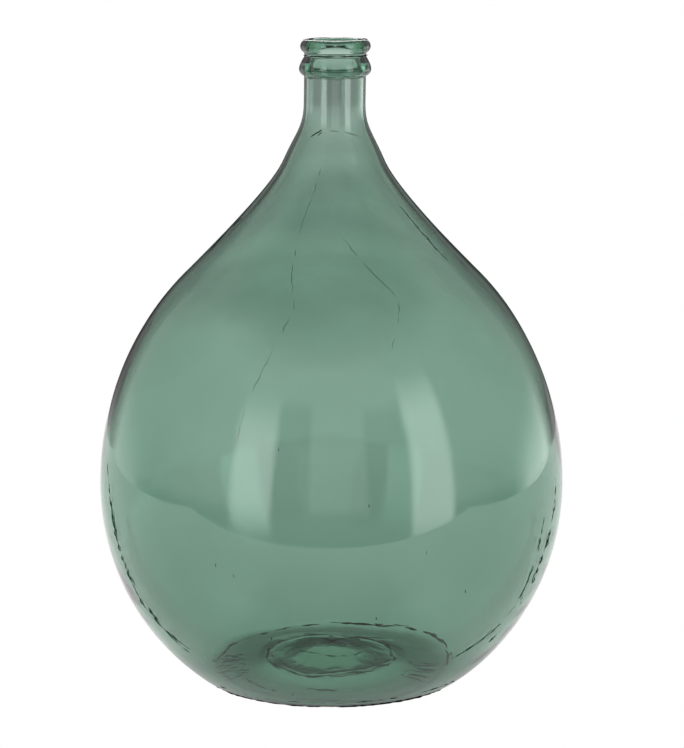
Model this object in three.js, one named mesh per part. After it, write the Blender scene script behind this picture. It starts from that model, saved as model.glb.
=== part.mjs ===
// A glass carboy: a blown wine vessel of green recycled glass that holds about 34 litres.
// It is made of five gathers of glass. The bulb is the blown body, and the base disc closes it below.
// The neck stands on the bulb, and the collar ring and the lip ring are laid around the neck.
// Millimetres, +Z up. The origin is the middle of the circle that the carboy stands on.
import * as THREE from "three";

// ---- Driving dimensions ----
const HEIGHT = 560;
const SEAT_GAP = 0.3; // between two pieces that touch

const BODY_RADIUS = 203; // at the widest ring
const BODY_MIDDLE_Z = 173; // height of the widest ring
const BOWL_HALF_HEIGHT = 207.5; // of the ellipse below the widest ring
const DOME_HALF_HEIGHT = 241; // of the rounder curve above it
const BOWL_POWER = 2;
const DOME_POWER = 1.94;
const DOME_TOP_Z = 358; // the dome turns into the hollow shoulder here

const SEAM_RADIUS = 103; // joint between the base disc and the bulb
const SEAM_Z = 0.4; // height of that joint on the underside
const HEEL_TOP_Z = 3.5; // the heel turns into the bowl here

const THROAT_RADIUS = 44;
const THROAT_Z = 456; // the shoulder turns into the throat here
const THROAT_SLOPE = 0.44; // radius lost for each millimetre of height
const NECK_RADIUS = 26.5;
const NECK_STRAIGHT_Z = 505; // the throat has become the straight neck here
const NECK_JOINT_Z = 484; // crease where the neck stands on the bulb
const BORE_RADIUS = 23.7;

const COLLAR_LOW_Z = 529;
const COLLAR_HIGH_Z = 545;
const COLLAR_PEAK_Z = 534.8;
const COLLAR_RADIUS = 31;

const LIP_LOW_Z = 548.5;
const LIP_RADIUS = 30.2;
const LIP_ROUND = (HEIGHT - LIP_LOW_Z) / 2; // the lip's outer side is a half circle
const MOUTH_RADIUS = 17.5;
const MOUTH_ROUND = 2;
const MOUTH_FOOT_Z = 553; // the mouth has widened to the bore here

const STANDING_INNER_RADIUS = 82; // the flat ring that touches the table
const STANDING_OUTER_RADIUS = 99;
const PUNT_RING_RADIUS = 56; // crease around the pushed-up middle of the base
const PUNT_RING_Z = 5;
const PUNT_TOP_Z = 15.5;
const PONTIL_RADIUS = 11; // scar where the pontil iron was broken off
const PONTIL_DEPTH = 1.5;
const BASE_THICKNESS = 7;

// The neck leans a little to +X, more and more with height.
const LEAN_START_Z = 200;
const LEAN_AT_TOP = 3.8;
const LEAN_POWER = 1.5;

const BODY_SIDES = 64;
const NECK_SIDES = 48;

// Wall thickness against the height of the outer surface. At the top it is the neck's.
const WALL = [
  { z: 0, thick: 6 },
  { z: 60, thick: 6 },
  { z: 110, thick: 5 },
  { z: 364, thick: 4.6 },
  { z: 456, thick: 4.2 },
  { z: NECK_STRAIGHT_Z, thick: NECK_RADIUS - BORE_RADIUS },
];

// ---- Helpers for outlines: x is the radius and y is the height ----
const at = (radius, z) => new THREE.Vector2(radius, z);

function wallAt(z) {
  const above = WALL.findIndex((row) => row.z >= z);
  if (above === -1) return WALL[WALL.length - 1].thick;
  if (above === 0) return WALL[0].thick;
  const low = WALL[above - 1];
  const high = WALL[above];
  return THREE.MathUtils.mapLinear(z, low.z, high.z, low.thick, high.thick);
}

// Points on a circle in the outline's plane, from one angle to another in degrees.
function arc(centreRadius, centreZ, radius, fromDegrees, toDegrees, steps) {
  const points = [];
  for (let i = 0; i <= steps; i++) {
    const angle = THREE.MathUtils.degToRad(
      THREE.MathUtils.lerp(fromDegrees, toDegrees, i / steps),
    );
    points.push(
      at(
        centreRadius + radius * Math.cos(angle),
        centreZ + radius * Math.sin(angle),
      ),
    );
  }
  return points;
}

// The body's radius at a height, on the bowl below the widest ring or the dome above it.
function bodyRadius(z) {
  const isBowl = z < BODY_MIDDLE_Z;
  const halfHeight = isBowl ? BOWL_HALF_HEIGHT : DOME_HALF_HEIGHT;
  const power = isBowl ? BOWL_POWER : DOME_POWER;
  const share = Math.abs(z - BODY_MIDDLE_Z) / halfHeight;
  return BODY_RADIUS * Math.sqrt(1 - share ** power);
}

function bodySlope(z) {
  const step = 0.01;
  return (bodyRadius(z + step) - bodyRadius(z - step)) / (2 * step);
}

// Points on the bowl and dome, closer together where the surface turns in.
function bodyPoints(fromZ, toZ, halfHeight, steps) {
  const fromAngle = Math.asin((fromZ - BODY_MIDDLE_Z) / halfHeight);
  const toAngle = Math.asin((toZ - BODY_MIDDLE_Z) / halfHeight);
  const points = [];
  for (let i = 0; i <= steps; i++) {
    const angle = THREE.MathUtils.lerp(fromAngle, toAngle, i / steps);
    const z = BODY_MIDDLE_Z + halfHeight * Math.sin(angle);
    points.push(at(bodyRadius(z), z));
  }
  return points;
}

// Where the tangent at the top of the dome meets the tangent at the foot of the throat.
function shoulderControl() {
  const domeRadius = bodyRadius(DOME_TOP_Z);
  const domeSlope = bodySlope(DOME_TOP_Z);
  const rise =
    (THROAT_RADIUS -
      domeRadius +
      THROAT_SLOPE * (THROAT_Z - DOME_TOP_Z)) /
    (domeSlope + THROAT_SLOPE);
  return at(domeRadius + domeSlope * rise, DOME_TOP_Z + rise);
}

// The whole outer surface from the seam under the heel to the straight neck.
function outerOutline() {
  const heelTop = at(bodyRadius(HEEL_TOP_Z), HEEL_TOP_Z);
  const heelSlope = bodySlope(HEEL_TOP_Z);
  const heelControl = at(
    heelTop.x - heelSlope * (HEEL_TOP_Z - SEAM_Z),
    SEAM_Z,
  );
  const heel = new THREE.QuadraticBezierCurve(
    at(SEAM_RADIUS + SEAT_GAP, SEAM_Z),
    heelControl,
    heelTop,
  );
  const throatFoot = at(THROAT_RADIUS, THROAT_Z);
  const shoulder = new THREE.QuadraticBezierCurve(
    at(bodyRadius(DOME_TOP_Z), DOME_TOP_Z),
    shoulderControl(),
    throatFoot,
  );
  const throatHeight = NECK_STRAIGHT_Z - THROAT_Z;
  const throat = new THREE.CubicBezierCurve(
    throatFoot,
    at(
      THROAT_RADIUS - 0.5 * throatHeight * THROAT_SLOPE,
      THROAT_Z + 0.5 * throatHeight,
    ),
    at(NECK_RADIUS, NECK_STRAIGHT_Z - 0.4 * throatHeight),
    at(NECK_RADIUS, NECK_STRAIGHT_Z),
  );
  return [
    ...heel.getPoints(4).slice(0, -1),
    ...bodyPoints(HEEL_TOP_Z, BODY_MIDDLE_Z, BOWL_HALF_HEIGHT, 9).slice(0, -1),
    ...bodyPoints(BODY_MIDDLE_Z, DOME_TOP_Z, DOME_HALF_HEIGHT, 9).slice(0, -1),
    ...shoulder.getPoints(7).slice(0, -1),
    ...throat.getPoints(8),
  ];
}

// The whole inner surface from the base to the straight neck: each outer point moved in by the wall.
function innerOutline(outer) {
  return outer.map((point, i) => {
    const before = outer[Math.max(i - 1, 0)];
    const after = outer[Math.min(i + 1, outer.length - 1)];
    const along = after.clone().sub(before).normalize();
    const inward = at(-along.y, along.x);
    return point.clone().addScaledVector(inward, wallAt(point.y));
  });
}

// The part of a rising outline between two heights, with a point made at each cut.
function between(outline, lowZ, highZ) {
  const points = [];
  outline.forEach((point, i) => {
    if (point.y > lowZ && point.y < highZ) points.push(point);
    const next = outline[i + 1];
    if (!next) return;
    for (const z of [lowZ, highZ])
      if (point.y <= z && next.y > z)
        points.push(at(THREE.MathUtils.mapLinear(z, point.y, next.y, point.x, next.x), z));
  });
  return points;
}

// ---- Helpers for meshes ----
function leanTowardsX(geometry) {
  const position = geometry.attributes.position;
  for (let i = 0; i < position.count; i++) {
    const above = Math.max(position.getZ(i) - LEAN_START_Z, 0);
    const share = above / (HEIGHT - LEAN_START_Z);
    position.setX(i, position.getX(i) + LEAN_AT_TOP * share ** LEAN_POWER);
  }
}

function turned(name, outline, sides, material) {
  const geometry = new THREE.LatheGeometry(outline, sides);
  geometry.rotateX(Math.PI / 2);
  leanTowardsX(geometry);
  const mesh = new THREE.Mesh(geometry, material);
  mesh.name = name;
  return mesh;
}

function closed(outline) {
  return [...outline, outline[0].clone()];
}

function glass(colour) {
  return new THREE.MeshStandardMaterial({
    color: colour,
    roughness: 0.05,
    metalness: 0,
    transparent: true,
    opacity: 0.5,
  });
}

// ---- The pieces ----
function bulb(outer, inner) {
  const top = NECK_JOINT_Z - SEAT_GAP / 2;
  const outside = between(outer, -HEIGHT, top);
  const inside = between(inner, -HEIGHT, top).reverse();
  return turned("bulb", closed([...outside, ...inside]), BODY_SIDES, glass(0x7d9a88));
}

// A tube whose foot spreads along the throat and whose top carries the lip ring.
function neck(outer, inner) {
  const foot = NECK_JOINT_Z + SEAT_GAP / 2;
  const top = LIP_LOW_Z - SEAT_GAP;
  const outline = [
    ...between(outer, foot, HEIGHT),
    at(NECK_RADIUS, top),
    at(BORE_RADIUS, top),
    ...between(inner, foot, HEIGHT).reverse(),
  ];
  return turned("neck", closed(outline), NECK_SIDES, glass(0x86a191));
}

// A bead of glass around the neck, with a long upper slope and a short lower one.
function collarRing() {
  const seat = NECK_RADIUS + SEAT_GAP;
  const upperSlope = new THREE.QuadraticBezierCurve(
    at(COLLAR_RADIUS, COLLAR_PEAK_Z),
    at(COLLAR_RADIUS, COLLAR_PEAK_Z + 3.5),
    at(seat + 0.4, COLLAR_HIGH_Z),
  );
  const lowerSlope = new THREE.QuadraticBezierCurve(
    at(seat + 0.4, COLLAR_LOW_Z),
    at(COLLAR_RADIUS, COLLAR_PEAK_Z - 3.5),
    at(COLLAR_RADIUS, COLLAR_PEAK_Z),
  );
  const outline = [
    at(seat, COLLAR_LOW_Z),
    ...lowerSlope.getPoints(5).slice(0, -1),
    ...upperSlope.getPoints(5),
    at(seat, COLLAR_HIGH_Z),
  ];
  return turned("collar_ring", closed(outline), NECK_SIDES, glass(0x7f9c8b));
}

// A thick round bead on the end of the neck. Inside it the bore tapers to the mouth.
function lipRing() {
  const outline = [
    ...arc(LIP_RADIUS - LIP_ROUND, LIP_LOW_Z + LIP_ROUND, LIP_ROUND, -90, 90, 8),
    ...arc(MOUTH_RADIUS + MOUTH_ROUND, HEIGHT - MOUTH_ROUND, MOUTH_ROUND, 90, 180, 3),
    at(BORE_RADIUS, MOUTH_FOOT_Z),
    at(BORE_RADIUS, LIP_LOW_Z),
  ];
  return turned("lip_ring", closed(outline), NECK_SIDES, glass(0x789585));
}

// A thick round plate with a standing ring, a pushed-up middle and a small scar at its centre.
function baseDisc(inner) {
  const seamTop = inner[0].y;
  const puntSlope = (PUNT_TOP_Z - PUNT_RING_Z) / PUNT_RING_RADIUS;
  const scarEdgeZ = PUNT_TOP_Z - puntSlope * PONTIL_RADIUS;
  const outline = [
    at(0, PUNT_TOP_Z - PONTIL_DEPTH),
    at(PONTIL_RADIUS - PONTIL_DEPTH, PUNT_TOP_Z - PONTIL_DEPTH),
    at(PONTIL_RADIUS, scarEdgeZ),
    at(PUNT_RING_RADIUS, PUNT_RING_Z),
    at((PUNT_RING_RADIUS + STANDING_INNER_RADIUS) / 2, PUNT_RING_Z * 0.4),
    at(STANDING_INNER_RADIUS, 0),
    at(STANDING_OUTER_RADIUS, 0),
    at(SEAM_RADIUS, SEAM_Z),
    at(inner[0].x - SEAT_GAP, seamTop),
    at(STANDING_INNER_RADIUS, BASE_THICKNESS),
    at(PUNT_RING_RADIUS, PUNT_RING_Z + BASE_THICKNESS),
    at(PONTIL_RADIUS, scarEdgeZ + BASE_THICKNESS),
    at(0, PUNT_TOP_Z + BASE_THICKNESS),
  ];
  return turned("base_disc", outline, BODY_SIDES, glass(0x6a8777));
}

// ---- The carboy ----
const outer = outerOutline();
const inner = innerOutline(outer);
const carboy = new THREE.Group();
carboy.add(bulb(outer, inner), neck(outer, inner), collarRing(), lipRing(), baseDisc(inner));

export default carboy;
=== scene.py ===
"""A blown carboy of green recycled glass, standing on a pale table in soft studio light.

The five CAD solids are the parts that the shape is divided into. A real carboy is one piece of annealed
glass with no surfaces inside it, so here one closed vessel stands for all five. Opaque dark threads in and
on it are painted shade: they stand in for the dark lines that its creases and the seam around its base make
by bending light, and they also make its dark specks. Metres, +Z up, and the camera looks along +Y.
"""

import math

import bpy
import numpy as np
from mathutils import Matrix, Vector, noise


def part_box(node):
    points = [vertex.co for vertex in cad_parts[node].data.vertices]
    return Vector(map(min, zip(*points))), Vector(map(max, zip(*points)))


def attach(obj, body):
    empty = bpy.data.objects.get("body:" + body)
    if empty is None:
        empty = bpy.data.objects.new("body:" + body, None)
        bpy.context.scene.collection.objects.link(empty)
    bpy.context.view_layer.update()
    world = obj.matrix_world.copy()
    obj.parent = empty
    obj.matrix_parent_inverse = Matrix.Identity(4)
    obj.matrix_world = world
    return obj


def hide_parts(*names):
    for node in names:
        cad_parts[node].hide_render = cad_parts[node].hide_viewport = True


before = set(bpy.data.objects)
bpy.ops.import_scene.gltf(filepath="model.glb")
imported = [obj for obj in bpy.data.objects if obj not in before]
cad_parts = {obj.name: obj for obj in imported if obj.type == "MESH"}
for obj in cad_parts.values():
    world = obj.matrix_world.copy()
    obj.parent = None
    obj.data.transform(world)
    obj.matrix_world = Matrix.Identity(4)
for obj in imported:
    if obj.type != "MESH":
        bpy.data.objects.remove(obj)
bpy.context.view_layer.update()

MM = 0.001

# ---- Sizes from the CAD frame ----
bulb_low, bulb_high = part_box("bulb")
collar_low, collar_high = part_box("collar_ring")
lip_low, lip_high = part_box("lip_ring")
base_low, base_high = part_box("base_disc")

HEIGHT = lip_high[2]
BODY_RADIUS = (bulb_high[1] - bulb_low[1]) / 2
SEAM_RADIUS = (base_high[1] - base_low[1]) / 2
COLLAR_LOW_Z = collar_low[2]
COLLAR_HIGH_Z = collar_high[2]
COLLAR_RADIUS = (collar_high[1] - collar_low[1]) / 2
LIP_LOW_Z = lip_low[2]
LIP_RADIUS = (lip_high[1] - lip_low[1]) / 2
LIP_ROUND = (HEIGHT - LIP_LOW_Z) / 2

# ---- Sizes that the boxes don't give, the same as in the CAD model ----
BODY_MIDDLE_Z = 173 * MM
BOWL_HALF_HEIGHT = 207.5 * MM
DOME_HALF_HEIGHT = 241 * MM
BOWL_POWER = 2
DOME_POWER = 1.94
DOME_TOP_Z = 358 * MM
SEAM_Z = 0.4 * MM
HEEL_TOP_Z = 3.5 * MM
THROAT_RADIUS = 44 * MM
THROAT_Z = 456 * MM
THROAT_SLOPE = 0.44
NECK_RADIUS = 26.5 * MM
NECK_STRAIGHT_Z = 505 * MM
BORE_RADIUS = 23.7 * MM
COLLAR_PEAK_Z = 534.8 * MM
MOUTH_RADIUS = 17.5 * MM
MOUTH_ROUND = 2 * MM
MOUTH_FOOT_Z = 553 * MM
STANDING_INNER_RADIUS = 82 * MM
STANDING_OUTER_RADIUS = 99 * MM
PUNT_RING_RADIUS = 56 * MM
PUNT_RING_Z = 5 * MM
PUNT_TOP_Z = 15.5 * MM
BASE_THICKNESS = 7 * MM
BASE_TOP_Z = PUNT_TOP_Z + BASE_THICKNESS
LEAN_START_Z = 200 * MM
LEAN_AT_TOP = 3.8 * MM
LEAN_POWER = 1.5
WALL_HEIGHTS = np.array([0, 60, 110, 364, 456, 505]) * MM
WALL_THICKNESS = np.array([6, 6, 5, 4.6, 4.2, 2.8]) * MM

PONTIL_RADIUS = 11 * MM
# How strong the seam around the base is, by degrees from +X towards the back.
SEAM_ANGLES = [0, 90, 120, 160, 200, 250, 320, 360]
SEAM_STRENGTHS = [1, 0.9, 0.55, 0.6, 0.5, 0.15, 0.3, 1]

SIDES = 152  # columns of faces around the vessel
# How far apart the rows of faces lie: on the body by height, on the rings and the bore, and in the base,
# where they lie closer from the ring in its middle out to the seam.
BODY_ROW_HEIGHTS = np.array([20, 180, 300, 480]) * MM
BODY_ROW_SPACINGS = np.array([3.2, 4.4, 6, 5]) * MM
RINGS_SPACING = 1.1 * MM
BORE_SPACING = 1.8 * MM
BASE_SPACING = 1.8 * MM
BASE_FINE_SPACING = 0.9 * MM
BASE_FINE_MARGIN = 6 * MM
UNDERSIDE, OUTSIDE, RINGS, BORE, INSIDE, FLOOR = range(6)  # parts of the vessel's outline


# ---- Outlines: rows of (radius, height) ----
def bezier(*controls, steps=60):
    """A quadratic or cubic Bezier curve through the plane of the outline."""
    t = np.linspace(0, 1, steps)[:, None]
    points = [np.repeat(np.array(c, float)[None], steps, 0) for c in controls]
    while len(points) > 1:
        points = [(1 - t) * a + t * b for a, b in zip(points, points[1:])]
    return points[0]


def arc(centre, radius, from_degrees, to_degrees, steps=24):
    """Part of a circle, with its degrees counted from outwards to upwards."""
    angles = np.radians(np.linspace(from_degrees, to_degrees, steps))
    return np.c_[centre[0] + radius * np.cos(angles), centre[1] + radius * np.sin(angles)]


def evenly(points, spacing):
    """The same polyline with points a given distance apart along it."""
    points = np.asarray(points, float)
    steps = np.linalg.norm(np.diff(points, axis=0), axis=1)
    keep = np.r_[True, steps > 1e-9]
    points = points[keep]
    along = np.r_[0, np.cumsum(steps[steps > 1e-9])]
    count = max(2, round(along[-1] / spacing) + 1)
    wanted = np.linspace(0, along[-1], count)
    return np.c_[np.interp(wanted, along, points[:, 0]), np.interp(wanted, along, points[:, 1])]


def rows_along(points, spacing):
    """Points along a polyline, as far apart as spacing says for the radius and height at each place."""
    fine = evenly(points, 0.2 * MM)
    steps = np.linalg.norm(np.diff(fine, axis=0), axis=1)
    middle = (fine[1:] + fine[:-1]) / 2
    along = np.r_[0, np.cumsum(steps / spacing(middle[:, 0], middle[:, 1]))]
    wanted = np.linspace(0, along[-1], max(2, round(along[-1]) + 1))
    return np.c_[np.interp(wanted, along, fine[:, 0]), np.interp(wanted, along, fine[:, 1])]


def softened(points, reach):
    """The polyline with its corners rounded over about the given reach; its two ends stay."""
    step = 0.25 * MM
    fine = evenly(points, step)
    half = max(1, int(3 * reach / step))
    weights = np.exp(-0.5 * (np.arange(-half, half + 1) * step / reach) ** 2)
    weights /= weights.sum()
    first = 2 * fine[0] - fine[half:0:-1]
    last = 2 * fine[-1] - fine[-2 : -half - 2 : -1]
    padded = np.vstack([first, fine, last])
    return np.c_[
        np.convolve(padded[:, 0], weights, "valid"), np.convolve(padded[:, 1], weights, "valid")
    ]


def body_radius(z):
    """The onion shape: two half ovals of different heights that meet at the widest place."""
    is_bowl = z < BODY_MIDDLE_Z
    half_height = np.where(is_bowl, BOWL_HALF_HEIGHT, DOME_HALF_HEIGHT)
    power = np.where(is_bowl, BOWL_POWER, DOME_POWER)
    share = np.abs(z - BODY_MIDDLE_Z) / half_height
    return BODY_RADIUS * np.sqrt(1 - share**power)


def body_slope(z):
    """How much the radius grows for each metre of height."""
    step = 0.01 * MM
    return float((body_radius(z + step) - body_radius(z - step)) / (2 * step))


def body_outline():
    """The outer surface from the seam under the heel to the straight neck."""
    heel_radius = float(body_radius(HEEL_TOP_Z))
    heel_control = heel_radius - body_slope(HEEL_TOP_Z) * (HEEL_TOP_Z - SEAM_Z)
    heel = bezier((SEAM_RADIUS, SEAM_Z), (heel_control, SEAM_Z), (heel_radius, HEEL_TOP_Z))
    heights = np.linspace(HEEL_TOP_Z, DOME_TOP_Z, 400)
    body = np.c_[body_radius(heights), heights]
    dome_radius = float(body_radius(DOME_TOP_Z))
    dome_slope = body_slope(DOME_TOP_Z)
    rise = (THROAT_RADIUS - dome_radius + THROAT_SLOPE * (THROAT_Z - DOME_TOP_Z)) / (
        dome_slope + THROAT_SLOPE
    )
    shoulder = bezier(
        (dome_radius, DOME_TOP_Z),
        (dome_radius + dome_slope * rise, DOME_TOP_Z + rise),
        (THROAT_RADIUS, THROAT_Z),
    )
    throat_height = NECK_STRAIGHT_Z - THROAT_Z
    throat = bezier(
        (THROAT_RADIUS, THROAT_Z),
        (THROAT_RADIUS - 0.5 * throat_height * THROAT_SLOPE, THROAT_Z + 0.5 * throat_height),
        (NECK_RADIUS, NECK_STRAIGHT_Z - 0.4 * throat_height),
        (NECK_RADIUS, NECK_STRAIGHT_Z),
    )
    return np.vstack([heel[:-1], body[:-1], shoulder[:-1], throat])


def inner_outline(outer):
    """The inner surface from the base up to the straight neck."""
    along = np.gradient(outer, axis=0)
    along /= np.linalg.norm(along, axis=1)[:, None]
    inward = np.c_[-along[:, 1], along[:, 0]]
    wall = np.interp(outer[:, 1], WALL_HEIGHTS, WALL_THICKNESS)
    return outer + inward * wall[:, None]


def collar_and_lip_outline():
    """The neck's upper end with its collar ring, the groove above it and the lip ring."""
    foot = NECK_RADIUS + 0.4 * MM
    lower = bezier(
        (foot, COLLAR_LOW_Z), (COLLAR_RADIUS, COLLAR_PEAK_Z - 3.5 * MM), (COLLAR_RADIUS, COLLAR_PEAK_Z)
    )
    upper = bezier(
        (COLLAR_RADIUS, COLLAR_PEAK_Z), (COLLAR_RADIUS, COLLAR_PEAK_Z + 3.5 * MM), (foot, COLLAR_HIGH_Z)
    )
    lip = arc((LIP_RADIUS - LIP_ROUND, LIP_LOW_Z + LIP_ROUND), LIP_ROUND, -65, 90)
    mouth = arc((MOUTH_RADIUS + MOUTH_ROUND, HEIGHT - MOUTH_ROUND), MOUTH_ROUND, 90, 180)
    straight = [(NECK_RADIUS, NECK_STRAIGHT_Z), (NECK_RADIUS, COLLAR_LOW_Z)]
    groove = [(NECK_RADIUS, COLLAR_HIGH_Z), (NECK_RADIUS, LIP_LOW_Z)]
    rings = np.vstack([straight, lower, upper, groove, lip, mouth])
    return softened(rings, 0.5 * MM)


def bore_outline():
    """Down the inside of the neck, from the mouth to where the neck starts to spread."""
    corners = [
        (MOUTH_RADIUS, HEIGHT - MOUTH_ROUND),
        (BORE_RADIUS, MOUTH_FOOT_Z),
        (BORE_RADIUS, NECK_STRAIGHT_Z),
    ]
    return softened(corners, 0.7 * MM)


def underside_outline():
    """The base from its middle out to the seam: the scar, the push-up and the standing ring."""
    corners = [
        (0, PUNT_TOP_Z),
        (PUNT_RING_RADIUS, PUNT_RING_Z),
        ((PUNT_RING_RADIUS + STANDING_INNER_RADIUS) / 2, PUNT_RING_Z * 0.4),
        (STANDING_INNER_RADIUS, 0),
        (STANDING_OUTER_RADIUS, 0),
        (SEAM_RADIUS, SEAM_Z),
    ]
    return softened(corners, 2.5 * MM)


def floor_outline(rim):
    """The inside of the base from where the bulb's wall ends in to the middle."""
    corners = [rim, (STANDING_INNER_RADIUS, BASE_THICKNESS)]
    ring_z = PUNT_RING_Z + BASE_THICKNESS
    radii = np.linspace(PUNT_RING_RADIUS, 0, 12)
    rise = 1 - (radii / PUNT_RING_RADIUS) ** 2
    corners = np.vstack([corners, np.c_[radii, ring_z + (BASE_TOP_Z - ring_z) * rise]])
    return softened(corners, 3 * MM)


# ---- The vessel ----
def base_spacing(radius, _height):
    """How far apart the base's rows lie at a place on its outline."""
    is_past_ring = radius > PUNT_RING_RADIUS - BASE_FINE_MARGIN
    is_before_seam = radius < SEAM_RADIUS + BASE_FINE_MARGIN
    return np.where(is_past_ring & is_before_seam, BASE_FINE_SPACING, BASE_SPACING)


def body_spacing(_radius, height):
    """How far apart the body's rows lie at a place on its outline."""
    return np.interp(height, BODY_ROW_HEIGHTS, BODY_ROW_SPACINGS)


def vessel_rows():
    """The closed outline of the glass, from the middle of the underside round to the middle of the inside.

    Returns the rows and the part of the glass that each belongs to.
    """
    outer = body_outline()
    inner = softened(inner_outline(outer)[::-1], 1.2 * MM)
    pieces = [
        (UNDERSIDE, rows_along(underside_outline(), base_spacing)),
        (OUTSIDE, rows_along(outer, body_spacing)),
        (RINGS, evenly(collar_and_lip_outline(), RINGS_SPACING)),
        (BORE, evenly(bore_outline(), BORE_SPACING)),
        (INSIDE, rows_along(inner, body_spacing)),
        (FLOOR, rows_along(floor_outline(inner[-1]), base_spacing)),
    ]
    rows = np.vstack([points[:-1] for part, points in pieces] + [pieces[-1][1][-1:]])
    parts = np.concatenate([np.full(len(points) - 1, part) for part, points in pieces] + [[FLOOR]])
    return rows, parts


def lean(points):
    """Moves points towards +X, more and more with height, as the neck of the real one leans."""
    share = np.clip(points[:, 2] - LEAN_START_Z, 0, None) / (HEIGHT - LEAN_START_Z)
    points[:, 0] += LEAN_AT_TOP * share**LEAN_POWER


def noise_at(points, size, seed):
    """Smooth noise between about -1 and 1 over the points, with waves about as long as size."""
    shifted = points / size + (seed * 7.31, seed * 3.17, seed * 5.53)
    return np.array([noise.noise(Vector(point)) for point in shifted]) * 1.6


def bump(distance, width):
    """1 where the distance is 0, falling off smoothly over the width."""
    return np.exp(-((distance / width) ** 2))


# Waves over the body: their length, and their height in millimetres.
BROAD_WAVE = 75 * MM
BROAD_HEIGHT = 0.20
SMALL_WAVE = 30 * MM
SMALL_HEIGHT = 0.05
RIPPLE_WAVE = 10 * MM
RIPPLE_HEIGHT = 0.14
RIPPLE_TOP_Z = 190 * MM
CALM_NECK_Z = 420 * MM
CALM_NECK_SHARE = 0.7
WAVE_FADE = 60 * MM


def body_swell(points, angle, is_inner):
    """How far the body's surface stands out of its outline: broad waves, and ripples low on the sides."""
    height = points[:, 2]
    broad = noise_at(points, BROAD_WAVE, 1 + is_inner)
    small = noise_at(points, SMALL_WAVE, 3 + is_inner)
    at_neck = np.clip((height - CALM_NECK_Z) / WAVE_FADE, 0, 1)
    waves = (BROAD_HEIGHT * broad + SMALL_HEIGHT * small) * (1 - CALM_NECK_SHARE * at_neck)
    if not is_inner:
        return waves * MM
    ripple = noise_at(points * (0.5, 0.5, 1), RIPPLE_WAVE, 5 + is_inner)
    low = np.clip((RIPPLE_TOP_Z - height) / WAVE_FADE, 0, 1)
    beside = np.clip((np.abs(np.cos(angle)) - 0.80) / 0.15, 0, 1)
    return (waves + RIPPLE_HEIGHT * ripple * low * beside) * MM


# Grooves and bumps in the base: depths and heights in millimetres on the floor of the inside. The
# underside has the same ones, shallower and in other places.
UNDERSIDE_SHARE = 0.4
SEAM_DEPTH = 0.9
SEAM_WIDTH = 0.9 * MM
RING_DEPTH = 0.5
RING_WIDTH = 0.8 * MM
SECOND_RING_DEPTH = 0.35
SECOND_RING_WIDTH = 0.9 * MM
SECOND_RING_INSET = 3.6 * MM
MIDDLE_FADE = 8 * MM
BROAD_BUMP = 18 * MM
BROAD_BUMP_HEIGHT = 0.10
SMALL_BUMP = 6 * MM
SMALL_BUMP_HEIGHT = 0.06
SCAR_WIDTH = 1.3 * MM
WRINKLE_DEPTH = 0.10
WRINKLE_LENGTH = 16 * MM
WRINKLES_PER_TURN = 16
WRINKLES_FROM_RADIUS = 68 * MM


def seam_groove(direction, angle, radius, seed):
    """The ragged, broken groove where the base meets the bulb."""
    ragged = 0.5 * noise_at(direction, 0.05, seed + 7)
    seam_at = SEAM_RADIUS + (1.3 * noise_at(direction, 0.35, seed) + ragged) * MM
    broken = np.clip(0.7 + 0.8 * noise_at(direction, 0.10, seed + 1), 0.1, 1)
    strength = np.interp(np.degrees(angle) % 360, SEAM_ANGLES, SEAM_STRENGTHS)
    return -SEAM_DEPTH * broken * strength * bump(radius - seam_at, SEAM_WIDTH)


def ring_grooves(direction, radius, seed):
    """Two dashed rings around the foot of the push-up: where one fades out the other shows."""
    ring_at = PUNT_RING_RADIUS + 2.0 * MM * noise_at(direction, 0.6, seed + 2)
    dashed = np.clip(0.6 + 0.9 * noise_at(direction, 0.22, seed + 8), 0, 1)
    ring = -RING_DEPTH * dashed * bump(radius - ring_at, RING_WIDTH)
    second = bump(radius - ring_at + SECOND_RING_INSET, SECOND_RING_WIDTH)
    return ring - SECOND_RING_DEPTH * (1 - dashed) * second


def middle_bumps(points, direction, radius, seed):
    """Low bumps inside the rings, and the scar that the glassmaker's rod left in the middle."""
    middle = np.clip((PUNT_RING_RADIUS - radius) / MIDDLE_FADE, 0, 1)
    broad = BROAD_BUMP_HEIGHT * noise_at(points, BROAD_BUMP, seed + 3)
    small = SMALL_BUMP_HEIGHT * noise_at(points, SMALL_BUMP, seed + 9)
    scar_at = PONTIL_RADIUS * (1 + 0.3 * noise_at(direction, 0.5, seed + 4))
    scar_depth = 0.5 + 0.7 * noise_at(direction, 0.3, seed + 5)
    return (broad + small) * middle - scar_depth * bump(radius - scar_at, SCAR_WIDTH)


def wrinkles(angle, radius, seed):
    """Creases that run in from the seam, deepest on the left and on the right."""
    turns = WRINKLES_PER_TURN
    spokes = np.c_[np.cos(angle) * turns, np.sin(angle) * turns, radius / WRINKLE_LENGTH]
    outer_part = np.clip((radius - WRINKLES_FROM_RADIUS) / (14 * MM), 0, 1)
    between = outer_part * np.clip((SEAM_RADIUS - radius) / (4 * MM), 0, 1)
    beside = np.clip(np.abs(np.cos(angle)) * 2 - 0.8, 0.08, 1)
    return WRINKLE_DEPTH * noise_at(spokes, 0.9, seed + 6) * between * beside


def base_swell(points, angle, radius, is_inner):
    """How far the base's surface stands out of its outline."""
    seed = 11 if is_inner else 17
    direction = np.c_[np.cos(angle), np.sin(angle), np.zeros_like(angle)]
    swell = seam_groove(direction, angle, radius, seed) + ring_grooves(direction, radius, seed)
    swell += middle_bumps(points, direction, radius, seed) + wrinkles(angle, radius, seed)
    return swell * (1 if is_inner else UNDERSIDE_SHARE) * MM


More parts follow.
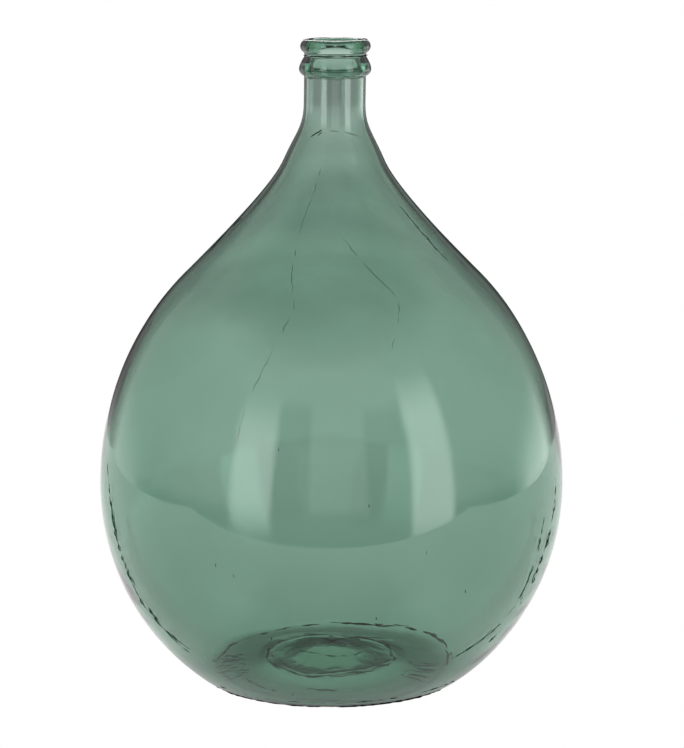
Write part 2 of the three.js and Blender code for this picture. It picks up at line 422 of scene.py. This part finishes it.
def ring_shift(points, angle):
    """The collar's lower edge wanders up and down around the neck, as a hand-laid bead does."""
    direction = np.c_[np.cos(angle), np.sin(angle), np.zeros_like(angle)]
    wander = 0.9 * noise_at(direction, 0.8, 21) + 0.35 * noise_at(direction, 0.25, 22)
    low_edge = np.clip((COLLAR_PEAK_Z - points[:, 2]) / (6 * MM), 0, 1)
    on_collar = low_edge * np.clip((points[:, 2] - COLLAR_LOW_Z + 6 * MM) / (4 * MM), 0, 1)
    return wander * on_collar * MM


def smooth_mesh(name, points, faces):
    """A smooth mesh of the points, once they lean as the neck does."""
    lean(points)
    mesh = bpy.data.meshes.new(name)
    mesh.from_pydata(points.tolist(), [], faces)
    mesh.update()
    mesh.shade_smooth()
    return mesh


def vessel_faces(row_count):
    """Bands of faces around the vessel, and a fan of them at each end of its outline."""
    low_pole = row_count * SIDES
    high_pole = low_pole + 1
    last_row = low_pole - SIDES
    faces = []
    for column in range(SIDES):
        beside = (column + 1) % SIDES
        faces.append((low_pole, beside, column))
        faces.append((high_pole, last_row + column, last_row + beside))
        for here in range(0, last_row, SIDES):
            there = here + SIDES
            faces.append((here + column, here + beside, there + beside, there + column))
    return faces


def vessel_mesh():
    """The outline turned around the axis, with the waves, grooves and bumps of hand-blown glass."""
    rows, parts = vessel_rows()
    angles = np.arange(SIDES) * 2 * math.pi / SIDES
    middle = rows[1:-1]
    along = np.gradient(rows, axis=0)[1:-1]
    along /= np.linalg.norm(along, axis=1)[:, None]

    radius = np.repeat(middle[:, 0], SIDES)
    angle = np.tile(angles, len(middle))
    part = np.repeat(parts[1:-1], SIDES)
    across = np.c_[np.cos(angle), np.sin(angle), np.zeros_like(angle)]
    points = across * radius[:, None]
    points[:, 2] = np.repeat(middle[:, 1], SIDES)
    outwards = across * np.repeat(along[:, 1], SIDES)[:, None]
    outwards[:, 2] = -np.repeat(along[:, 0], SIDES)

    swell = np.zeros(len(points))
    for body, is_inner in ((OUTSIDE, False), (INSIDE, True)):
        here = part == body
        swell[here] = body_swell(points[here], angle[here], is_inner)
    for base, is_inner in ((UNDERSIDE, False), (FLOOR, True)):
        here = part == base
        swell[here] = base_swell(points[here], angle[here], radius[here], is_inner)
    fade = np.clip(radius / (4 * MM), 0, 1)
    points += outwards * (swell * fade)[:, None]
    rings = part == RINGS
    points[rings, 2] += ring_shift(points[rings], angle[rings])
    points[:, 2] = np.maximum(points[:, 2], 0)
    poles = np.array([(0, 0, rows[0, 1]), (0, 0, rows[-1, 1])])
    return smooth_mesh("carboy_glass", np.vstack([points, poles]), vessel_faces(len(middle)))


# ---- Dark threads: painted shade for the thin broken dark lines that the creases from the blowing make by bending light ----
THREAD_SIDES = 6
THREAD_STEP = 1.6 * MM
THREAD_WAVE = 9 * MM
THREAD_WOBBLE = 0.9 * MM
THREAD_WOBBLE_WAVE = 5 * MM
SHORTEST_THREAD = 3  # points

# Threads in the wall, painted shade for the dark lines of its creases and ripples. Each has its radius in
# millimetres, how whole it is (1 has no breaks), how deep it lies as a share of the wall, and its course as
# azimuth in degrees from the camera's side and height in millimetres.
LEFT_CREASE = [
    (-14, 461),
    (-20, 410),
    (-18, 376),
    (-13, 347),
    (-16, 328),
    (-22, 278),
    (-24, 240),
    (-24, 222),
]
LEFT_RIP = [(-72, 202), (-68, 176), (-66, 146), (-62, 97), (-60, 83), (-56, 70), (-48, 48)]
WALL_LINES = [
    (0.24, 0.65, 0.5, LEFT_CREASE),
    (0.22, 0.65, 0.5, [(6, 399), (16, 376), (22, 362), (25, 353), (21, 331), (18, 317)]),
    (0.45, 0.90, 0, [(-78, 408), (-84, 393), (-80, 377)]),
    (0.45, 0.90, 0, [(55, 422), (59, 398), (62, 375)]),
    (0.60, 0.80, 0, LEFT_RIP),
    (0.50, 0.55, 0, [(-69, 190), (-66, 160), (-63, 120), (-59, 90), (-53, 66), (-46, 52)]),
    (0.60, 0.75, 0, [(-60, 88), (-57, 78), (-54, 66), (-49, 56)]),
    (0.60, 0.75, 0, [(63, 162), (61, 125), (59, 92), (56, 75), (45, 55), (40, 49)]),
    (0.50, 0.50, 0, [(69, 147), (65, 108), (59, 69), (54, 54)]),
    (0.55, 0.70, 0, [(72, 190), (69, 150), (64, 112), (60, 90)]),
    (0.60, 0.95, 0, [(-36, 479), (-29, 482), (-20, 485)]),
    (0.45, 0.90, 0, [(-27, 480), (-19, 483)]),
    (0.25, 0.70, 0.5, [(-7, 484), (17, 483), (42, 479)]),
    # The two threads around the foot are painted shade: the lower one a painted contact shadow where the
    # glass stands on the table, the upper one a painted dark line along the heel.
    (0.75, 0.95, 0, [(-62, 2), (-30, 2), (0, 2), (30, 2), (62, 2)]),
    (0.40, 0.65, 0, [(-50, 10), (-25, 9), (0, 8), (30, 9), (58, 12)]),
]

# Threads around the neck's rings, painted shade for the dark lines along the groove, the lip and the
# collar's
# lower edge: radius, how whole, the ring's radius and height in millimetres, and the azimuths that it runs
# from and to.
RING_LINES = [
    (0.60, 1.0, 26.8, 546.6, -95, 95),
    (0.55, 1.0, 27.4, 559.6, 100, 260),
    (0.45, 1.0, 18.6, 559.6, -80, 80),
    (0.45, 0.80, 27.4, 529.6, -38, 34),
]

# Threads on the floor of the base, painted shade for the dark lines of the seam, the rings and the scar:
# radius, how whole, and the course as degrees from +X towards the back and distance from the middle in
# millimetres.
FLOOR_LINES = [
    (1.35, 0.85, [(-8, 104), (3, 106), (33, 113), (56, 114), (77, 112), (92, 112)]),
    (0.90, 0.65, [(0, 109), (20, 112), (50, 117), (70, 115)]),
    (1.00, 0.60, [(96, 110), (112, 106), (139, 99), (162, 102), (184, 104)]),
    (0.70, 0.60, [(20, 58), (60, 57), (100, 59), (140, 57), (180, 58), (220, 57)]),
    (0.60, 0.50, [(-20, 54), (20, 53), (60, 54), (100, 53), (150, 54)]),
    (0.65, 0.55, [(230, 57), (270, 58), (310, 57), (345, 58)]),
    (1.50, 0.95, [(125, 18), (98, 5), (82, 5), (55, 18)]),
    (0.80, 0.60, [(150, 30), (120, 26), (90, 28), (40, 34)]),
    (0.60, 0.55, [(200, 30), (240, 26), (290, 28), (330, 32)]),
    (0.70, 0.60, [(196, 92), (215, 90), (240, 94)]),
    (0.70, 0.60, [(255, 78), (280, 80)]),
]

# Short threads from the seam towards the middle, painted shade for the dark lines of the wrinkles: degrees
# from and to, distance from the middle from and to, how many there are, and their radius. They slant by a
# few degrees and start a few millimetres apart.
FLOOR_SPOKES = [(166, 208, 82, 108, 13, 0.70), (-34, -4, 72, 98, 9, 0.70)]
SPOKE_SLANT = 3
SPOKE_STAGGER = 5
SPOKE_WHOLE = 0.7

# Specks in the wall, by azimuth in degrees and height in millimetres, and the shape that all have.
SPECKS = [
    (-44, 246),
    (17, 360),
    (-26, 35),
    (-25, 440),
    (21, 183),
    (-29, 146),
    (43, 283),
    (-53, 259),
    (66, 210),
]
SPECK_STEP = 0.6 * MM
SPECK_RADII = np.array([0.2, 0.38, 0.45, 0.38, 0.2]) * MM

# Where the noise of each group of threads starts.
WALL_SEED = 31
FLOOR_SEED = 81
SPOKE_SEED = 121
RING_SEED = 201


def wall_course(course, depth):
    """Points along a line in the wall, at a share of its thickness below the outside."""
    outer = body_outline()
    layer = outer + (inner_outline(outer) - outer) * depth
    degree = 2 * MM
    flat = [(azimuth * degree, height * MM) for azimuth, height in course]
    azimuth, height = evenly(softened(flat, 4 * MM), THREAD_STEP).T
    azimuth = np.radians(azimuth / degree)
    radius = np.interp(height, layer[:, 1], layer[:, 0])
    return np.c_[radius * np.sin(azimuth), -radius * np.cos(azimuth), height]


def floor_course(course):
    """Points along a line on the floor of the base."""
    inner = inner_outline(body_outline())
    floor = np.vstack([floor_outline(inner[0])[::-1], inner[1:60]])
    degree = 1 * MM
    flat = [(angle * degree, radius * MM) for angle, radius in course]
    angle, radius = evenly(softened(flat, 3 * MM), THREAD_STEP * 0.7).T
    angle = np.radians(angle / degree)
    height = np.interp(radius, floor[:, 0], floor[:, 1])
    return np.c_[radius * np.cos(angle), radius * np.sin(angle), height]


def ring_course(radius, height, from_azimuth, to_azimuth):
    """Points along a level arc around the axis."""
    length = math.radians(to_azimuth - from_azimuth) * radius * MM
    azimuth = np.radians(np.linspace(from_azimuth, to_azimuth, round(length / THREAD_STEP)))
    flat = np.full_like(azimuth, height * MM)
    return np.c_[radius * MM * np.sin(azimuth), -radius * MM * np.cos(azimuth), flat]


def thread(points, radii):
    """A closed tube with pointed ends."""
    along = np.gradient(points, axis=0)
    along /= np.linalg.norm(along, axis=1)[:, None]
    across = np.cross(along, points * (1, 1, 0))
    across /= np.linalg.norm(across, axis=1)[:, None]
    upwards = np.cross(across, along)
    turns = np.arange(THREAD_SIDES) * 2 * math.pi / THREAD_SIDES
    sides = [across * math.cos(turn) + upwards * math.sin(turn) for turn in turns]
    vertices = np.stack([points + side * radii[:, None] for side in sides], axis=1).reshape(-1, 3)
    ends = np.array([points[0] - along[0] * radii[0], points[-1] + along[-1] * radii[-1]])
    first_end = len(vertices)
    last_row = first_end - THREAD_SIDES
    faces = []
    for side in range(THREAD_SIDES):
        beside = (side + 1) % THREAD_SIDES
        faces.append((first_end, side, beside))
        faces.append((first_end + 1, last_row + beside, last_row + side))
        for row in range(len(points) - 1):
            here = row * THREAD_SIDES
            there = here + THREAD_SIDES
            faces.append((here + side, there + side, there + beside, here + beside))
    return np.vstack([vertices, ends]), faces


def threads_along(course, radius, whole, seed):
    """Breaks a line into threads of uneven width with pointed ends."""
    width = np.clip(whole + 0.9 * noise_at(course, THREAD_WAVE, seed), 0, 1)
    wobble_x = noise_at(course, THREAD_WOBBLE_WAVE, seed + 1)
    wobble_y = noise_at(course, THREAD_WOBBLE_WAVE, seed + 2)
    course = course + np.c_[wobble_x, wobble_y, np.zeros(len(course))] * THREAD_WOBBLE
    is_open = np.r_[False, width > 0.25, False]
    edges = np.flatnonzero(np.diff(is_open.astype(int)))
    threads = []
    for start, end in zip(edges[::2], edges[1::2]):
        if end - start < SHORTEST_THREAD:
            continue
        place = np.linspace(0, math.pi, end - start)
        radii = radius * (0.25 + 0.75 * np.sqrt(np.sin(place).clip(0, 1))) * width[start:end]
        threads.append(thread(course[start:end], radii))
    return threads


def speck(azimuth, height, number):
    """A small dark speck, about three times as long as it is wide."""
    middle = wall_course([(azimuth, height - 1.6), (azimuth, height + 1.6)], 0.5).mean(axis=0)
    points = middle + np.arange(-2, 3)[:, None] * np.array([0, 0, SPECK_STEP])
    return thread(points, SPECK_RADII * (1 + 0.3 * (number % 3 - 1)))


def all_threads():
    """Every thread, as its points and faces."""
    threads = []
    for number, (radius, whole, depth, course) in enumerate(WALL_LINES):
        threads += threads_along(wall_course(course, depth), radius * MM, whole, WALL_SEED + 3 * number)
    for number, (radius, whole, *ring) in enumerate(RING_LINES):
        threads += threads_along(ring_course(*ring), radius * MM, whole, RING_SEED + 3 * number)
    for number, (radius, whole, course) in enumerate(FLOOR_LINES):
        threads += threads_along(floor_course(course), radius * MM, whole, FLOOR_SEED + 3 * number)
    for from_angle, to_angle, from_radius, to_radius, count, radius in FLOOR_SPOKES:
        for number, angle in enumerate(np.linspace(from_angle, to_angle, count)):
            slant = SPOKE_SLANT * math.sin(2.3 * number)
            inner_end = from_radius + SPOKE_STAGGER * math.sin(1.7 * number)
            course = floor_course([(angle, inner_end), (angle + slant, to_radius)])
            threads += threads_along(course, radius * MM, SPOKE_WHOLE, SPOKE_SEED + number)
    for number, (azimuth, height) in enumerate(SPECKS):
        threads.append(speck(azimuth, height, number))
    return threads


def threads_mesh():
    """All the threads in one mesh."""
    points = []
    faces = []
    for thread_points, thread_faces in all_threads():
        first = sum(len(part) for part in points)
        points.append(thread_points)
        faces += [tuple(first + corner for corner in face) for face in thread_faces]
    return smooth_mesh("painted_shade_threads", np.vstack(points), faces)


# ---- Node helpers: each returns the socket that holds its result ----
DEGREES = 180 / math.pi


def connect(tree, value, socket):
    """Puts a number on a socket, or links another socket to it."""
    if isinstance(value, (int, float)):
        socket.default_value = value
    else:
        tree.links.new(value, socket)


def compute(tree, operation, *values):
    """A math node on numbers or sockets."""
    node = tree.nodes.new("ShaderNodeMath")
    node.operation = operation
    for value, socket in zip(values, node.inputs):
        connect(tree, value, socket)
    return node.outputs["Value"]


def ramp(tree, value, start, end):
    """Rises smoothly from 0 at start to 1 at end."""
    node = tree.nodes.new("ShaderNodeMapRange")
    node.interpolation_type = "SMOOTHSTEP"
    connect(tree, value, node.inputs["Value"])
    node.inputs["From Min"].default_value = start
    node.inputs["From Max"].default_value = end
    return node.outputs["Result"]


def window(tree, value, low, high, softness):
    """1 between low and high, 0 outside, with edges as wide as softness."""
    rise = ramp(tree, value, low - softness / 2, low + softness / 2)
    fall = ramp(tree, value, high + softness / 2, high - softness / 2)
    return compute(tree, "MULTIPLY", rise, fall)


def blend(tree, share, start, end):
    """The start where share is 0 and the end where it is 1."""
    node = tree.nodes.new("ShaderNodeMix")
    connect(tree, share, node.inputs["Factor"])
    connect(tree, start, node.inputs["A"])
    connect(tree, end, node.inputs["B"])
    return node.outputs["Result"]


def is_mirrored(tree):
    """1 for a ray that some surface of the glass has reflected, 0 for one that came straight through."""
    path = tree.nodes.new("ShaderNodeLightPath")
    return compute(tree, "GREATER_THAN", path.outputs["Glossy Depth"], 0.5)


def is_outer_mirrored(tree):
    """1 for a ray that the outside of the glass has reflected and that never went into the glass."""
    path = tree.nodes.new("ShaderNodeLightPath")
    outside = compute(tree, "LESS_THAN", path.outputs["Transmission Depth"], 0.5)
    return compute(tree, "MULTIPLY", is_mirrored(tree), outside)


def angle_from_behind(tree, y):
    """Degrees between a direction and the camera's forward direction, from the direction's Y."""
    return compute(tree, "MULTIPLY", compute(tree, "ARCCOSINE", y), DEGREES)


def white_to_camera(tree, light):
    """The light, but white where the camera sees it directly."""
    path = tree.nodes.new("ShaderNodeLightPath")
    return blend(tree, path.outputs["Is Camera Ray"], light, 1.0)


def noise_node(tree, place, scale, detail):
    """Smooth noise over a place, with about as many waves in a metre as the scale says."""
    node = tree.nodes.new("ShaderNodeTexNoise")
    node.inputs["Scale"].default_value = scale
    node.inputs["Detail"].default_value = detail
    tree.links.new(place, node.inputs["Vector"])
    return node.outputs["Fac"]


def bump_node(tree, height, depth):
    """A surface direction that follows the height, from 0 to the depth in metres."""
    node = tree.nodes.new("ShaderNodeBump")
    node.inputs["Strength"].default_value = 1
    node.inputs["Distance"].default_value = depth
    tree.links.new(height, node.inputs["Height"])
    return node.outputs["Normal"]


# ---- Materials ----
GLASS_IOR = 1.52
ABSORPTION_DENSITY = 140
ABSORPTION_COLOUR = (0.10, 0.50, 0.312, 1)

# The waviness of the glass: how many waves there are in a metre, and how deep they are together.
STREAKS = 110
STREAK_STRETCH = (1, 1, 0.12)
DIMPLES = 60
STRIAE_DEPTH = 0.03 * MM

# The threads' look: painted shade in very dark green, uneven in colour and shine.
THREAD_PATCHES = 150
THREAD_BUMPS = 0.05 * MM
THREAD_SHINE = 0.02
THREAD_DARK = (0.001, 0.008, 0.005, 1)
THREAD_PALE = (0.005, 0.028, 0.018, 1)
THREAD_ROUGHNESS = (0.2, 0.4)  # at its smoothest, and how much rougher it gets


def striae(tree):
    """The fine waviness of blown glass: streaks drawn out along the height, and small bumps."""
    place = tree.nodes.new("ShaderNodeTexCoord").outputs["Object"]
    stretch = tree.nodes.new("ShaderNodeMapping")
    stretch.inputs["Scale"].default_value = STREAK_STRETCH
    tree.links.new(place, stretch.inputs["Vector"])
    streaks = noise_node(tree, stretch.outputs["Vector"], STREAKS, 2)
    dimples = noise_node(tree, place, DIMPLES, 1)
    return bump_node(tree, compute(tree, "ADD", streaks, dimples), STRIAE_DEPTH)


def glass_material():
    """Clear wavy glass that takes its green from its thickness."""
    material = bpy.data.materials.new("green_glass")
    material.use_nodes = True
    tree = material.node_tree
    shader = tree.nodes["Principled BSDF"]
    shader.inputs["Base Color"].default_value = (1, 1, 1, 1)
    shader.inputs["Roughness"].default_value = 0.0
    shader.inputs["IOR"].default_value = GLASS_IOR
    shader.inputs["Transmission Weight"].default_value = 1
    tree.links.new(striae(tree), shader.inputs["Normal"])
    absorption = tree.nodes.new("ShaderNodeVolumeAbsorption")
    absorption.inputs["Color"].default_value = ABSORPTION_COLOUR
    absorption.inputs["Density"].default_value = ABSORPTION_DENSITY
    tree.links.new(absorption.outputs["Volume"], tree.nodes["Material Output"].inputs["Volume"])
    return material


def painted_shade_material():
    """Painted shade for the dark threads: very dark green, a little uneven in colour and shine along its
    length.
    """
    material = bpy.data.materials.new("painted_shade_glass")
    material.use_nodes = True
    tree = material.node_tree
    shader = tree.nodes["Principled BSDF"]
    shader.inputs["Specular IOR Level"].default_value = THREAD_SHINE
    place = tree.nodes.new("ShaderNodeTexCoord").outputs["Object"]
    patches = noise_node(tree, place, THREAD_PATCHES, 2)
    shades = tree.nodes.new("ShaderNodeValToRGB")
    shades.color_ramp.elements[0].color = THREAD_DARK
    shades.color_ramp.elements[1].color = THREAD_PALE
    tree.links.new(patches, shades.inputs["Fac"])
    tree.links.new(shades.outputs["Color"], shader.inputs["Base Color"])
    smoothest, rougher = THREAD_ROUGHNESS
    roughness = compute(tree, "MULTIPLY_ADD", patches, rougher, smoothest)
    tree.links.new(roughness, shader.inputs["Roughness"])
    tree.links.new(bump_node(tree, patches, THREAD_BUMPS), shader.inputs["Normal"])
    return material


# ---- The carboy ----
def add_object(name, mesh, material):
    """Puts a mesh with its material into the scene."""
    piece = bpy.data.objects.new(name, mesh)
    bpy.context.collection.objects.link(piece)
    mesh.materials.append(material)
    return piece


carboy = add_object("carboy_glass", vessel_mesh(), glass_material())
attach(carboy, "root")
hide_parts("bulb", "neck", "collar_ring", "lip_ring", "base_disc")

# The threads are painted shade: dark lines where the real glass bends light away.
threads = add_object("painted_shade_threads", threads_mesh(), painted_shade_material())
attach(threads, "root")

# ---- The studio: the table, what the glass shows of the room, and the camera ----
# This light couldn't be built in a real room. Camera rays, rays through the glass and mirrored rays each see
# a light of their own, set for the view from the front, so the glass looks different in other light.
TABLE_FRONT_Y = -0.65
TABLE_BACK_Y = 1.5
TABLE_HALF_WIDTH = 1.5
TABLE_Z = -0.2 * MM

BACKDROP_LIGHT = 0.71
BACKDROP_TOP_LIGHT = 0.28

# The table's light, and the distances from the carboy's middle between which it changes. It blends into
# the backdrop. Painted shade makes it dimmer near the carboy's front and back where the glass mirrors it,
# and close to the base, and a painted contact shadow darkens it under the standing ring.
TABLE_LIGHT = 0.62
TABLE_BLEND = (0.6, 1.2)
TABLE_MIRRORED_LIGHT = 0.95
TABLE_MIRRORED_SHADE = 0.58
MIRRORED_SHADE_REACH = (0.20, 0.50)
MIRRORED_SHADE_SIDES = (0.10, 0.17)
TABLE_SHADE_LIGHT = 0.6
TABLE_SHADE_REACH = (0.11, 0.19)
TABLE_CONTACT_LIGHT = 0.28
TABLE_CONTACT_RING = (0.062, 0.110)
TABLE_CONTACT_SOFTNESS = 0.03


def table_material():
    """White to the camera. In the glass it is a pale grey, dimmer where the carboy shades it."""
    material = bpy.data.materials.new("pale_table")
    material.use_nodes = True
    tree = material.node_tree
    tree.nodes.remove(tree.nodes["Principled BSDF"])
    place = tree.nodes.new("ShaderNodeNewGeometry").outputs["Position"]
    length = tree.nodes.new("ShaderNodeVectorMath")
    length.operation = "LENGTH"
    tree.links.new(place, length.inputs[0])
    distance = length.outputs["Value"]
    parts = tree.nodes.new("ShaderNodeSeparateXYZ")
    tree.links.new(place, parts.inputs["Vector"])
    sideways = compute(tree, "ABSOLUTE", parts.outputs["X"])

    straight = blend(tree, ramp(tree, distance, *TABLE_BLEND), TABLE_LIGHT, BACKDROP_LIGHT)
    far = ramp(tree, distance, *MIRRORED_SHADE_REACH)
    clear = compute(tree, "MAXIMUM", far, ramp(tree, sideways, *MIRRORED_SHADE_SIDES))
    mirrored = blend(tree, clear, TABLE_MIRRORED_SHADE, TABLE_MIRRORED_LIGHT)
    light = blend(tree, is_mirrored(tree), straight, mirrored)
    light = blend(tree, ramp(tree, distance, *TABLE_SHADE_REACH), TABLE_SHADE_LIGHT, light)
    # A painted contact shadow under the standing ring.
    contact_shadow_share = window(tree, distance, *TABLE_CONTACT_RING, TABLE_CONTACT_SOFTNESS)
    light = blend(tree, contact_shadow_share, light, TABLE_CONTACT_LIGHT)
    surface = tree.nodes.new("ShaderNodeEmission")
    tree.links.new(white_to_camera(tree, light), surface.inputs["Strength"])
    tree.links.new(surface.outputs["Emission"], tree.nodes["Material Output"].inputs["Surface"])
    return material


def make_table():
    """A flat table just under the carboy, which reaches further back than forward."""
    mesh = bpy.data.meshes.new("table")
    corners = [
        (-TABLE_HALF_WIDTH, TABLE_FRONT_Y, 0),
        (TABLE_HALF_WIDTH, TABLE_FRONT_Y, 0),
        (TABLE_HALF_WIDTH, TABLE_BACK_Y, 0),
        (-TABLE_HALF_WIDTH, TABLE_BACK_Y, 0),
    ]
    mesh.from_pydata(corners, [], [(0, 1, 2, 3)])
    table = add_object("table", mesh, table_material())
    table.location.z = TABLE_Z


# What the glass shows of the room, by direction. Azimuth is in degrees from the camera's side, positive to
# the right, and "turned" is the same without its sign. Elevation is in degrees above the horizontal. A pair
# of angles says where a change starts and ends. Three say where something starts and ends and how soft its
# edges are.
FRONT_LIGHT = 0.62
CEILING_LIGHT = 0.10
CEILING_ELEVATION = (42, 62)
FLOOR_LIGHT = 0.04
FLOOR_ELEVATION = (-2, -8)
FLOOR_TURNED = (130, 110)
BACKDROP_TURNED = (135, 150)
BACKDROP_ELEVATION = (-11, -2)

# Each softbox has its light, azimuth from and to, elevation from and to, and how soft its edges are across
# and up. A black card has the same but for the light.
SOFTBOXES = [
    (2.5, -50, -29.5, -9, 27, 5, 22),
    (2.9, 40, 62, -16, 33, 5, 20),
    (1.3, -140, -108, -24, 0, 20, 18),
    (2.2, 108, 140, -24, 0, 20, 18),
]
CARD_LIGHT = 0.01
BLACK_CARDS = [
    (-29.5, -11, -9, 33, 4, 8),
    (18, 39.5, -8, 30, 4, 8),
]

# Only the outside of the glass mirrors this light, high up behind the carboy.
BACK_LIGHT = 2.5
BACK_LIGHT_TURNED = (168, 175)
BACK_LIGHT_ELEVATION = (8, 60, 3)

# The lip and the rings bend light upwards, to the lit wall above the backdrop and around the room.
UPPER_LIGHT = 0.8
UPPER_BEHIND_ELEVATION = (16, 22)
UPPER_BEHIND_TURNED = (150, 165)
UPPER_AROUND_ELEVATION = (37, 66, 6)
UPPER_AROUND_TURNED = (80, 100)

# Beside the carboy the backdrop ends in a dark gap, which shows as a thin dark line along the glass. Its
# angles are from the camera's forward direction: the first are for rays that have been in the glass, and the
# edge's are for rays that only its outside mirrors.
GAP_LIGHT = 0.05
GAP_ANGLES = (21, 41, 4)
EDGE_ANGLES = (26, 12)


def backdrop_light(tree, elevation):
    """The backdrop is darker higher up."""
    return blend(tree, ramp(tree, elevation, *BACKDROP_ELEVATION), BACKDROP_LIGHT, BACKDROP_TOP_LIGHT)


def room_light(tree, azimuth, elevation, turned):
    """The room around the camera: pale walls, a dark floor and ceiling, softboxes and black cards."""
    light = blend(tree, ramp(tree, elevation, *CEILING_ELEVATION), FRONT_LIGHT, CEILING_LIGHT)
    in_front = ramp(tree, turned, *FLOOR_TURNED)
    below = compute(tree, "MULTIPLY", ramp(tree, elevation, *FLOOR_ELEVATION), in_front)
    light = blend(tree, below, light, FLOOR_LIGHT)
    panels = [(CARD_LIGHT, *card) for card in BLACK_CARDS] + SOFTBOXES
    for strength, left, right, low, high, soft_across, soft_up in panels:
        across = window(tree, azimuth, left, right, soft_across)
        panel = compute(tree, "MULTIPLY", across, window(tree, elevation, low, high, soft_up))
        light = blend(tree, panel, light, strength)
    return light


def mirrored_light(tree, azimuth, elevation, turned, from_behind):
    """The studio as it shows in reflections."""
    light = room_light(tree, azimuth, elevation, turned)
    behind = ramp(tree, turned, *BACKDROP_TURNED)
    light = blend(tree, behind, light, backdrop_light(tree, elevation))
    outer = is_outer_mirrored(tree)
    edge = compute(tree, "MULTIPLY", ramp(tree, from_behind, *EDGE_ANGLES), outer)
    light = blend(tree, edge, light, GAP_LIGHT)
    height = window(tree, elevation, *BACK_LIGHT_ELEVATION)
    top = compute(tree, "MULTIPLY", ramp(tree, turned, *BACK_LIGHT_TURNED), height)
    return blend(tree, compute(tree, "MULTIPLY", top, outer), light, BACK_LIGHT)


def upper_share(tree, elevation, turned):
    """1 where the lit wall is: above the backdrop, and higher up at the sides."""
    behind = ramp(tree, elevation, *UPPER_BEHIND_ELEVATION)
    behind = compute(tree, "MULTIPLY", behind, ramp(tree, turned, *UPPER_BEHIND_TURNED))
    around = window(tree, elevation, *UPPER_AROUND_ELEVATION)
    around = compute(tree, "MULTIPLY", around, ramp(tree, turned, *UPPER_AROUND_TURNED))
    return compute(tree, "MAXIMUM", behind, around)


def make_world():
    """White to the camera. Through the glass it is a grey backdrop, and reflections see the studio."""
    world = bpy.data.worlds.new("studio")
    bpy.context.scene.world = world
    world.use_nodes = True
    tree = world.node_tree
    tree.nodes.clear()
    direction = tree.nodes.new("ShaderNodeTexCoord").outputs["Generated"]
    parts = tree.nodes.new("ShaderNodeSeparateXYZ")
    tree.links.new(direction, parts.inputs["Vector"])
    towards_camera = compute(tree, "MULTIPLY", parts.outputs["Y"], -1.0)
    azimuth = compute(tree, "ARCTAN2", parts.outputs["X"], towards_camera)
    azimuth = compute(tree, "MULTIPLY", azimuth, DEGREES)
    elevation = compute(tree, "MULTIPLY", compute(tree, "ARCSINE", parts.outputs["Z"]), DEGREES)
    turned = compute(tree, "ABSOLUTE", azimuth)
    from_behind = angle_from_behind(tree, parts.outputs["Y"])

    mirrored = mirrored_light(tree, azimuth, elevation, turned, from_behind)
    light = blend(tree, is_mirrored(tree), backdrop_light(tree, elevation), mirrored)
    inside = compute(tree, "SUBTRACT", 1.0, is_outer_mirrored(tree))
    gap = compute(tree, "MULTIPLY", window(tree, from_behind, *GAP_ANGLES), inside)
    light = blend(tree, gap, light, GAP_LIGHT)
    upwards = compute(tree, "MULTIPLY", upper_share(tree, elevation, turned), inside)
    light = blend(tree, upwards, light, UPPER_LIGHT)
    background = tree.nodes.new("ShaderNodeBackground")
    background.inputs["Color"].default_value = (1, 1, 1, 1)
    tree.links.new(white_to_camera(tree, light), background.inputs["Strength"])
    output = tree.nodes.new("ShaderNodeOutputWorld")
    tree.links.new(background.outputs["Background"], output.inputs["Surface"])


CAMERA_PLACE = (0.0093, -2.321, 0.6886)
CAMERA_TILT = 10.247  # degrees below the horizontal
CAMERA_LENS = 129.8
CAMERA_SENSOR = 36


def make_camera():
    """A long lens a little above the carboy's mouth, tilted down at it."""
    data = bpy.data.cameras.new("camera")
    data.sensor_width = CAMERA_SENSOR
    data.lens = CAMERA_LENS
    camera = bpy.data.objects.new("camera", data)
    bpy.context.collection.objects.link(camera)
    camera.location = CAMERA_PLACE
    camera.rotation_euler = (math.radians(90 - CAMERA_TILT), 0, 0)
    bpy.context.scene.camera = camera


make_table()
make_world()
make_camera()

scene = bpy.context.scene
scene.view_settings.view_transform = "Standard"
scene.cycles.max_bounces = 32
scene.cycles.transmission_bounces = 32
scene.cycles.glossy_bounces = 16
scene.cycles.caustics_refractive = False
scene.cycles.caustics_reflective = False
